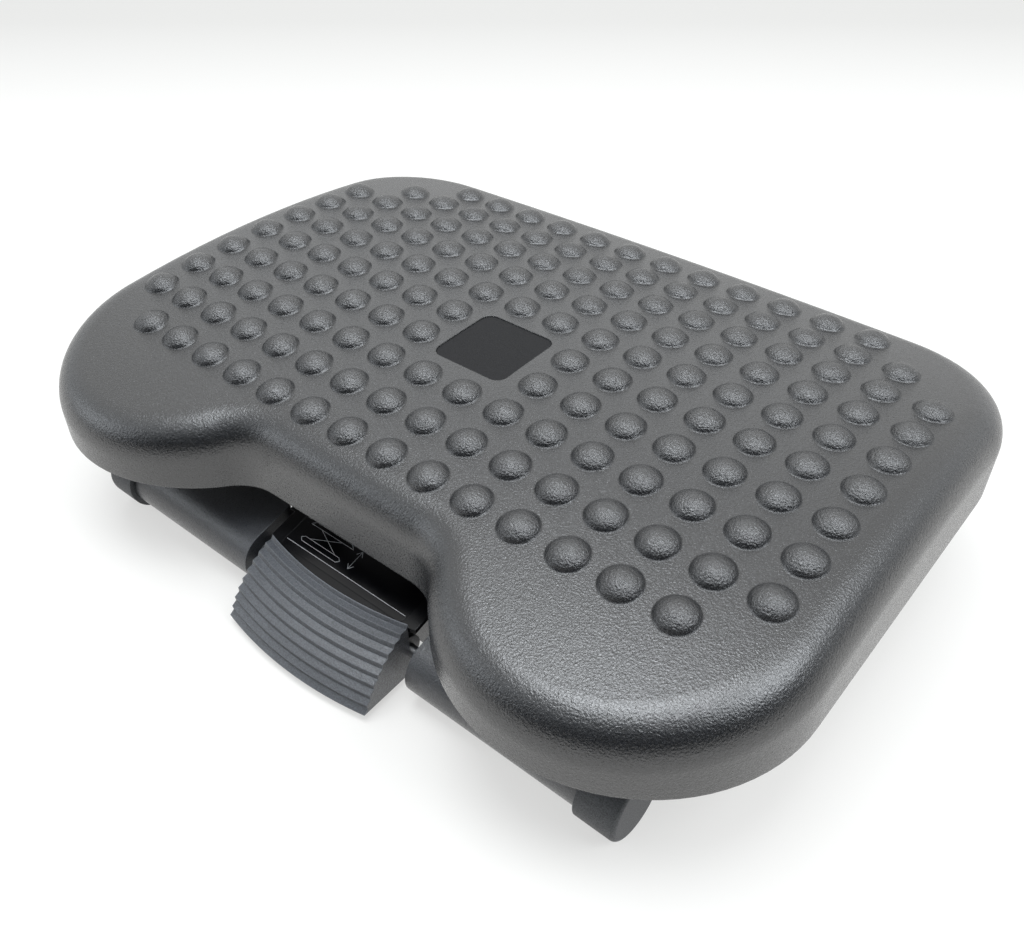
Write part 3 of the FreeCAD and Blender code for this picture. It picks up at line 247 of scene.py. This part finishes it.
def place_object(name, data):
    """New object in the scene."""
    piece = bpy.data.objects.new(name, data)
    scene.collection.objects.link(piece)
    return piece


def aim(piece, way):
    """Turn a camera or lamp to look the given way."""
    piece.rotation_mode = "QUATERNION"
    piece.rotation_quaternion = way.to_track_quat("-Z", "Y")


def make_camera():
    """Camera at the photograph's viewpoint."""
    data = bpy.data.cameras.new("camera")
    data.lens = camera_lens
    data.sensor_width = camera_sensor
    data.clip_start = camera_near
    data.clip_end = camera_far
    camera = place_object("camera", data)
    azimuth = math.radians(camera_azimuth_deg)
    elevation = math.radians(camera_elevation_deg)
    back = Vector(
        (
            math.sin(azimuth) * math.cos(elevation),
            -math.cos(azimuth) * math.cos(elevation),
            math.sin(elevation),
        )
    )
    camera.location = Vector(camera_place) * mm
    aim(camera, -back)
    scene.camera = camera


class Nodes:
    """Small helper that adds nodes to a tree and links them."""

    def __init__(self, tree, output_kind):
        self.tree = tree
        self.tree.nodes.clear()
        self.output = self.add(output_kind)

    def add(self, kind, **settings):
        """New node with the given settings."""
        node = self.tree.nodes.new(kind)
        for key, value in settings.items():
            setattr(node, key, value)
        return node

    def put(self, value, slot):
        """Link an output to the slot, or set the slot's own number, vector or colour."""
        if hasattr(value, "is_linked"):
            self.tree.links.new(value, slot)
        elif slot.type == "RGBA":
            slot.default_value = tuple(value) + (1.0,)
        else:
            slot.default_value = value

    def fill(self, node, values):
        """Put each value in the node's input of that name."""
        for name, value in values.items():
            self.put(value, node.inputs[name])

    def place(self):
        """Coordinates fixed to the piece, in metres."""
        return self.add("ShaderNodeTexCoord").outputs["Object"]

    def noise(self, rate, kind, where=None, bend=0.0):
        """Cloudy pattern about one half, with rate features per metre."""
        detail, roughness = kind
        node = self.add("ShaderNodeTexNoise")
        self.fill(node, {"Scale": rate, "Detail": detail, "Roughness": roughness, "Distortion": bend})
        self.put(where or self.place(), node.inputs["Vector"])
        return node.outputs["Fac"]

    def cells(self, rate, where):
        """Rounded pebbles, with rate of them per metre."""
        node = self.add("ShaderNodeTexVoronoi", feature="SMOOTH_F1")
        self.fill(node, {"Scale": rate, "Randomness": 1.0, "Vector": where})
        return node.outputs["Distance"]

    def spread(self, source, band, before, after, kind="LINEAR"):
        """Number that goes from before to after as the source crosses the band."""
        node = self.add("ShaderNodeMapRange", interpolation_type=kind)
        start, end = band
        values = {"Value": source, "From Min": start, "From Max": end, "To Min": before, "To Max": after}
        self.fill(node, values)
        return node.outputs["Result"]

    def math(self, operation, first, second):
        """Sum, product or other result of two numbers."""
        node = self.add("ShaderNodeMath", operation=operation)
        self.put(first, node.inputs[0])
        self.put(second, node.inputs[1])
        return node.outputs["Value"]

    def dot(self, first, second):
        """Dot product of two vectors."""
        node = self.add("ShaderNodeVectorMath", operation="DOT_PRODUCT")
        self.put(first, node.inputs[0])
        self.put(second, node.inputs[1])
        return node.outputs["Value"]

    def mix(self, factor, first, second):
        """First colour at factor 0, second at 1."""
        node = self.add("ShaderNodeMix", data_type="RGBA")
        self.put(factor, node.inputs["Factor"])
        self.put(first, node.inputs[6])
        self.put(second, node.inputs[7])
        return node.outputs[2]

    def blend(self, factor, first, second):
        """First shader at factor 0, second at 1, joined to the output."""
        node = self.add("ShaderNodeMixShader")
        self.put(factor, node.inputs["Fac"])
        self.put(first, node.inputs[1])
        self.put(second, node.inputs[2])
        self.put(node.outputs["Shader"], self.output.inputs["Surface"])

    def seen_share(self, gloss_share):
        """One for what the camera sees straight or through glass, and the given share in reflections."""
        ray = self.add("ShaderNodeLightPath")
        seen = self.math("MAXIMUM", ray.outputs["Is Camera Ray"], ray.outputs["Is Transmission Ray"])
        gloss = self.math("MULTIPLY", ray.outputs["Is Glossy Ray"], gloss_share)
        return self.math("MAXIMUM", seen, gloss)


class Shader(Nodes):
    """Nodes of a new material."""

    def __init__(self, name):
        self.material = bpy.data.materials.new(name)
        self.material.use_nodes = True
        super().__init__(self.material.node_tree, "ShaderNodeOutputMaterial")
        self.surface = self.add("ShaderNodeBsdfPrincipled")
        self.put(self.surface.outputs["BSDF"], self.output.inputs["Surface"])

    def rounded(self, radius):
        """Surface direction with every edge rounded off by the radius, in metres."""
        node = self.add("ShaderNodeBevel", samples=bevel_samples)
        self.put(radius, node.inputs["Radius"])
        return node.outputs["Normal"]

    def wear_and_highlight_edges(self, radius, share):
        """Zero on open faces, growing to the share at the edges."""
        flat = self.add("ShaderNodeNewGeometry").outputs["Normal"]
        turn = self.math("SUBTRACT", 1.0, self.dot(self.rounded(radius), flat))
        return self.spread(turn, wear_and_highlight_band, 0.0, share)

    def bump(self, height, depth, before=None):
        """Surface direction of a relief of the given depth, in metres, over the one before it."""
        node = self.add("ShaderNodeBump")
        self.fill(node, {"Height": height, "Distance": depth, "Strength": 1.0})
        if before is not None:
            self.put(before, node.inputs["Normal"])
        return node.outputs["Normal"]

    def finish(self, **inputs):
        """Set or link inputs of the surface, and return the material."""
        self.fill(self.surface, {name.replace("_", " "): value for name, value in inputs.items()})
        return self.material


def times(shade, factor, extra=0.0):
    """Lighter or darker shade."""
    return tuple(min(1.0, value * factor + extra) for value in shade)


def over_crown(s, place):
    """How far a point stands above the bare crown, in metres."""
    split = s.add("ShaderNodeSeparateXYZ")
    s.put(place, split.inputs["Vector"])
    reach = s.math("SUBTRACT", split.outputs["Y"], crown_axis_y)
    inside = s.math("SUBTRACT", crown_radius**2, s.math("MULTIPLY", reach, reach))
    crown = s.math("ADD", s.math("POWER", inside, 0.5), crown_top - crown_radius)
    return s.math("SUBTRACT", split.outputs["Z"], crown)


def plastic(name, shade, roughness, grain, specular, edge=0.0006, contrast=0.5, studs=False, ior=1.5):
    """Moulded plastic with a leathery grain of the given size and depth, and paler edges of wear and painted
    highlight, in metres.

    With studs, their grain is deeper, their tops are glossier, grime and painted shade lie at their feet, and
    only the lower skirt gets the paler edges of wear and painted highlight.
    """
    grain_size, grain_depth = grain
    s = Shader(name)
    place = s.place()
    broad = s.noise(cloud_rate, cloudy_noise, place)
    wander = s.noise(wander_rate / grain_size, soft_noise, place)
    fine = s.noise(1.0 / grain_size, crisp_noise, place, fine_bend)
    pebbles = s.cells(pebble_rate / grain_size, place)
    height = s.math("ADD", s.math("MULTIPLY", fine, fine_weight), s.math("MULTIPLY", pebbles, pebble_weight))
    height = s.math("ADD", height, s.math("MULTIPLY", wander, wander_weight))
    pit = times(shade, 1 - contrast)
    ridge = times(shade, 1 + contrast)
    tone = s.mix(s.spread(fine, tone_band, 0.0, 1.0), pit, ridge)
    tone = s.mix(s.spread(broad, cloud_band, 0.0, cloud_share), tone, pit)
    # Edges made paler: partly wear, partly a painted highlight along them
    wear_and_highlight = s.wear_and_highlight_edges(edge, grained_wear_and_highlight)
    gloss = s.spread(fine, gloss_band, roughness + pit_dullness, roughness - ridge_gloss)
    if studs:
        rise = over_crown(s, place)
        height = s.math("MULTIPLY", height, s.spread(rise, stud_grain_band, 1.0, stud_grain_gain))
        # The paler edge of wear and painted highlight is kept to the lower skirt's lip
        wear_and_highlight = s.math("MULTIPLY", wear_and_highlight, s.spread(rise, skirt_band, 1.0, 0.0))
        gloss = s.math("SUBTRACT", gloss, s.spread(rise, stud_top_band, 0.0, stud_top_gloss))
        # Grime and painted shade in patches: darker on the crown and round the studs' feet
        over = s.spread(rise, grime_and_shade_low_band, 0.0, 1.0)
        under = s.spread(rise, grime_and_shade_high_band, 1.0, 0.0)
        patches = s.spread(wander, grime_and_shade_patch_band, 0.0, grime_and_shade_share)
        grime_and_shade = s.math("MULTIPLY", s.math("MULTIPLY", over, under), patches)
        tone = s.mix(grime_and_shade, tone, times(shade, grime_and_shade_tone))
    # Paler tone of wear and painted highlight at the edges
    tone = s.mix(wear_and_highlight, tone, times(shade, *grained_wear_and_highlight_tone))
    relief = s.bump(height, grain_depth, s.rounded(edge))
    return s.finish(Base_Color=tone, Roughness=gloss, Normal=relief, Specular_IOR_Level=specular, IOR=ior)


def smooth_plastic(name, shade, roughness, specular=0.5, edge=0.0005, ripple_depth=0.00004):
    """Smooth moulded plastic with a faint haze, paler edges of wear and painted highlight, and fine ripples,
    in metres.
    """
    s = Shader(name)
    place = s.place()
    haze = s.noise(haze_rate, hazy_noise, place)
    hazy = s.mix(haze, times(shade, haze_tone), shade)
    # Paler tone of wear and painted highlight at the edges
    tone = s.mix(s.wear_and_highlight_edges(edge, smooth_wear_and_highlight), hazy, times(shade, *smooth_wear_and_highlight_tone))
    gloss = s.spread(haze, haze_band, roughness - haze_gloss, roughness + haze_dullness)
    relief = s.bump(s.noise(ripple_rate, rich_noise, place), ripple_depth, s.rounded(edge))
    return s.finish(Base_Color=tone, Roughness=gloss, Normal=relief, Specular_IOR_Level=specular)


def metal(name, shade, roughness, along):
    """Plated steel with fine draw marks along one axis."""
    s = Shader(name)
    stretch = s.add("ShaderNodeMapping")
    scales = tuple(draw_stretch if axis == along else 1.0 for axis in "XYZ")
    s.fill(stretch, {"Scale": scales, "Vector": s.place()})
    marks = s.noise(draw_rate, rich_noise, stretch.outputs["Vector"])
    spots = s.spread(s.noise(spot_rate, rich_noise), spot_band, 0.0, 1.0)
    tone = s.mix(spots, shade, times(shade, spot_tone))
    gloss = s.spread(marks, draw_band, roughness - draw_gloss, roughness + draw_dullness)
    return s.finish(Base_Color=tone, Roughness=gloss, Normal=s.bump(marks, draw_depth), Metallic=1.0)


def dress(material, *names):
    """Give CAD nodes a material."""
    for name in names:
        piece = frame["nodes"][name]
        piece.data.materials.clear()
        piece.data.materials.append(material)


def both(name):
    """Right and left node names."""
    return ["right_" + name, "left_" + name]


def make_materials():
    """Every finish, given to its nodes."""
    shell = plastic(
        "shell_grain",
        (0.009, 0.0095, 0.0108),
        roughness=0.20,
        grain=(0.0009, 0.00031),
        specular=1.0,
        edge=0.0011,
        contrast=0.7,
        studs=True,
        ior=1.56,
    )
    dress(shell, "platform")
    bar = plastic(
        "frame_grain", (0.034, 0.036, 0.041), roughness=0.34, grain=(0.0008, 0.00030), specular=0.9
    )
    dress(bar, "base_frame")
    deck = smooth_plastic(
        "deck_black", (0.004, 0.004, 0.005), roughness=0.20, specular=0.35, ripple_depth=0.00001
    )
    dress(deck, "front_cover", "rear_cover")
    label = smooth_plastic(
        "label_black", (0.003, 0.003, 0.004), roughness=0.14, specular=0.4, ripple_depth=0.000006
    )
    dress(label, "deck_label")
    badge = plastic(
        "badge_matt", (0.007, 0.007, 0.008), roughness=0.60, grain=(0.0004, 0.00006), specular=0.25
    )
    dress(badge, "badge_plate")
    treadle = plastic(
        "pedal_grey",
        (0.060, 0.065, 0.074),
        roughness=0.38,
        grain=(0.0008, 0.00036),
        specular=1.0,
        contrast=0.45,
    )
    dress(treadle, "pedal")
    structural = ["tilt_carrier", "release_crank", "brake_drum", "brake_shoe"]
    structural += both("tilt_bracket") + both("lift_arm") + both("control_link")
    dress(smooth_plastic("structural_black", (0.022, 0.022, 0.024), roughness=0.42), *structural)
    rubber = plastic(
        "boot_rubber", (0.056, 0.059, 0.064), roughness=0.58, grain=(0.0005, 0.00008), specular=0.6
    )
    dress(rubber, *both("front_boot"), *both("rear_boot"))
    nylon = smooth_plastic("nylon", (0.62, 0.60, 0.54), roughness=0.42)
    dress(nylon, *both("shaft_bush"), *both("friction_washer"))
    lining = plastic("lining", (0.11, 0.08, 0.055), roughness=0.8, grain=(0.0006, 0.0001), specular=0.5)
    dress(lining, "brake_lining")
    across = ["lift_shaft", "pedal_pin", "crank_pin", "rod_pin", "tilt_axle", "axle_spacer"]
    across += both("axle_nut") + both("arm_head_pin") + both("link_head_pin") + both("link_base_pin")
    dress(metal("steel_across", (0.56, 0.56, 0.57), roughness=0.34, along="X"), *across)
    dress(metal("steel_along", (0.56, 0.56, 0.57), roughness=0.34, along="Y"), "brake_rod")
    upright = metal("steel_upright", (0.52, 0.52, 0.53), roughness=0.38, along="Z")
    dress(upright, "hub_pins", "cover_screws", "bracket_screws")


def new_piece(name, mesh, material):
    """Piece made from a finished mesh."""
    data = bpy.data.meshes.new(name)
    mesh.to_mesh(data)
    mesh.free()
    data.materials.append(material)
    return place_object(name, data)


def make_ink():
    """Slightly patchy pale ink."""
    s = Shader("print_white")
    patches = s.spread(s.noise(ink_rate, rich_noise), ink_band, 0.0, 1.0)
    return s.finish(Base_Color=s.mix(patches, *ink_tones), Roughness=ink_roughness)


def make_print():
    """Thin light strokes printed on the label."""
    slope = math.radians(deck_slope_deg)
    along_deck = Vector((0, math.cos(slope), math.sin(slope)))
    up = Vector((0, -math.sin(slope), math.cos(slope)))
    corner = Vector((0, deck_front_y, deck_front_z)) + along_deck * label_start
    level = corner + up * (label_thickness + print_lift)
    mesh = bmesh.new()
    for path in print_paths:
        for (x0, y0), (x1, y1) in zip(path, path[1:]):
            way = Vector((x1 - x0, y1 - y0)).normalized()
            side = Vector((-way.y, way.x)) * print_line / 2
            start = Vector((x0, y0)) - way * print_line / 2
            end = Vector((x1, y1)) + way * print_line / 2
            corners = []
            for point in (start - side, end - side, end + side, start + side):
                place = level + Vector((point.x, 0, 0)) + along_deck * point.y
                corners.append(mesh.verts.new(place * mm))
            mesh.faces.new(corners)
    piece = new_piece("label_print", mesh, make_ink())
    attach(piece, body_of(frame["nodes"]["deck_label"])[0])


def spring_point(turn):
    """Middle of the spring's wire after some turns, in millimetres: close end turns, open ones between."""
    last = spring_turns - 1
    open_pitch = (spring_end_y - spring_start_y - 2 * spring_close_pitch) / (last - 1)
    y = spring_start_y + spring_close_pitch * min(turn, 1)
    y += open_pitch * max(0, min(turn, last) - 1)
    y += spring_close_pitch * max(0, turn - last)
    angle = 2 * math.pi * turn
    return Vector((spring_radius * math.cos(angle), y, spring_z + spring_radius * math.sin(angle)))


def spring_ring(mesh, turn):
    """Corners of the wire's section after some turns."""
    middle = spring_point(turn)
    ahead = spring_point(min(turn + spring_tangent_step, spring_turns))
    behind = spring_point(max(turn - spring_tangent_step, 0))
    way = (ahead - behind).normalized()
    side = way.cross(Vector((0, 1, 0))).normalized()
    up = side.cross(way)
    ring = []
    for corner in range(spring_corners):
        angle = 2 * math.pi * corner / spring_corners
        place = middle + (side * math.cos(angle) + up * math.sin(angle)) * spring_wire_radius
        ring.append(mesh.verts.new(place * mm))
    return ring


def make_spring():
    """Coil of the brake spring, fixed to the base in place of the CAD spring."""
    mesh = bmesh.new()
    rings = [spring_ring(mesh, step / spring_steps) for step in range(spring_turns * spring_steps + 1)]
    for first, second in zip(rings, rings[1:]):
        for corner in range(spring_corners):
            after = (corner + 1) % spring_corners
            mesh.faces.new((first[corner], first[after], second[after], second[corner]))
    mesh.faces.new(list(reversed(rings[0])))
    mesh.faces.new(rings[-1])
    bmesh.ops.recalc_face_normals(mesh, faces=mesh.faces)
    for face in mesh.faces:
        face.smooth = len(face.verts) == 4
    steel = metal("spring_steel", (0.50, 0.50, 0.51), roughness=0.30, along="Y")
    piece = new_piece("spring_coil", mesh, steel)
    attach(piece, "base")
    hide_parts("brake_spring")
    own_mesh(piece)


def make_floor():
    """Pale floor that keeps the shadow, slightly greyer far behind the object."""
    bpy.ops.mesh.primitive_plane_add(size=floor_side, location=(0, 0, 0))
    floor = bpy.context.object
    floor.name = "floor"
    s = Shader("floor_white")
    far = s.spread(s.dot(s.place(), floor_far_way), floor_far_band, 0.0, 1.0)
    tone = s.mix(s.noise(floor_patch_rate, soft_noise), *floor_tones)
    s.finish(Base_Color=s.mix(far, tone, floor_far_tone), Roughness=floor_roughness)
    glow = s.add("ShaderNodeEmission")
    s.fill(glow, {"Strength": 1.0, "Color": s.mix(far, floor_glow, floor_far_glow)})
    share = s.math("MULTIPLY", s.seen_share(floor_gloss_share), floor_glow_share)
    s.blend(share, s.surface.outputs["BSDF"], glow.outputs["Emission"])
    floor.data.materials.append(s.material)


def make_world():
    """Room: white to the camera, bright above and behind, dimmer in front at eye level."""
    world = bpy.data.worlds.new("studio")
    scene.world = world
    world.use_nodes = True
    s = Nodes(world.node_tree, "ShaderNodeOutputWorld")
    way = s.dot(s.add("ShaderNodeTexCoord").outputs["Generated"], room_way)
    room = s.add("ShaderNodeBackground")
    strength = s.spread(way, room_band, room_dim, room_bright, kind="SMOOTHSTEP")
    s.fill(room, {"Color": room_colour, "Strength": strength})
    white = s.add("ShaderNodeBackground")
    s.fill(white, {"Color": backdrop_colour, "Strength": backdrop_strength})
    share = s.seen_share(s.spread(way, backdrop_band, 0.0, 1.0))
    s.blend(share, room.outputs["Background"], white.outputs["Background"])


def make_lamps():
    """Large soft lamps above and around the object."""
    for name, place, size, power in lamps:
        data = bpy.data.lights.new(name, "AREA")
        data.shape = "RECTANGLE"
        data.size, data.size_y = size
        data.energy = power
        data.color = lamp_colour
        lamp = place_object(name, data)
        lamp.location = place
        aim(lamp, Vector(lamp_aim) - Vector(place))


make_camera()
make_materials()
make_print()
make_spring()
make_floor()
make_world()
make_lamps()
